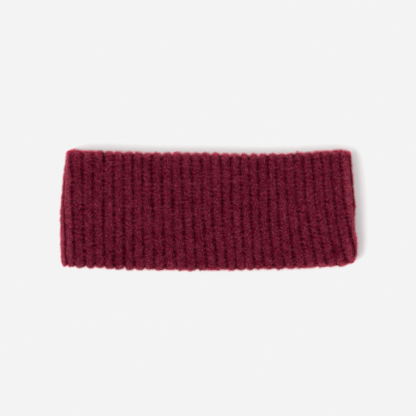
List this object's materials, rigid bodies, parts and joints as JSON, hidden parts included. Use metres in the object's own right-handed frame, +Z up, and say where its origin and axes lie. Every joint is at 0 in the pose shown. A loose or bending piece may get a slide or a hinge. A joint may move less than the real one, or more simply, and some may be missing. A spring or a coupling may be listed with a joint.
{
  "type": "baby headband",
  "caption": "Rib-knit headband for a baby: a soft tube of chunky wool knit that lies flat in two layers and opens from edge to edge to go round the head.",
  "frame": {"origin": "on the table under the middle of the band's box, as it lies flat", "axes": "+X along the band from its left fold to its right fold, +Y across it from the lower knitted edge to the upper one, along the ribs, +Z up through both layers"},
  "size_m": [0.1896, 0.0772, 0.0128],
  "materials": {
    "wool_knit": "brushed wool rib knit, matt, with a short fuzz"
  },
  "bodies": {
    "root": {"rib_knit_band": "wool_knit"}
  },
  "joints": []
}
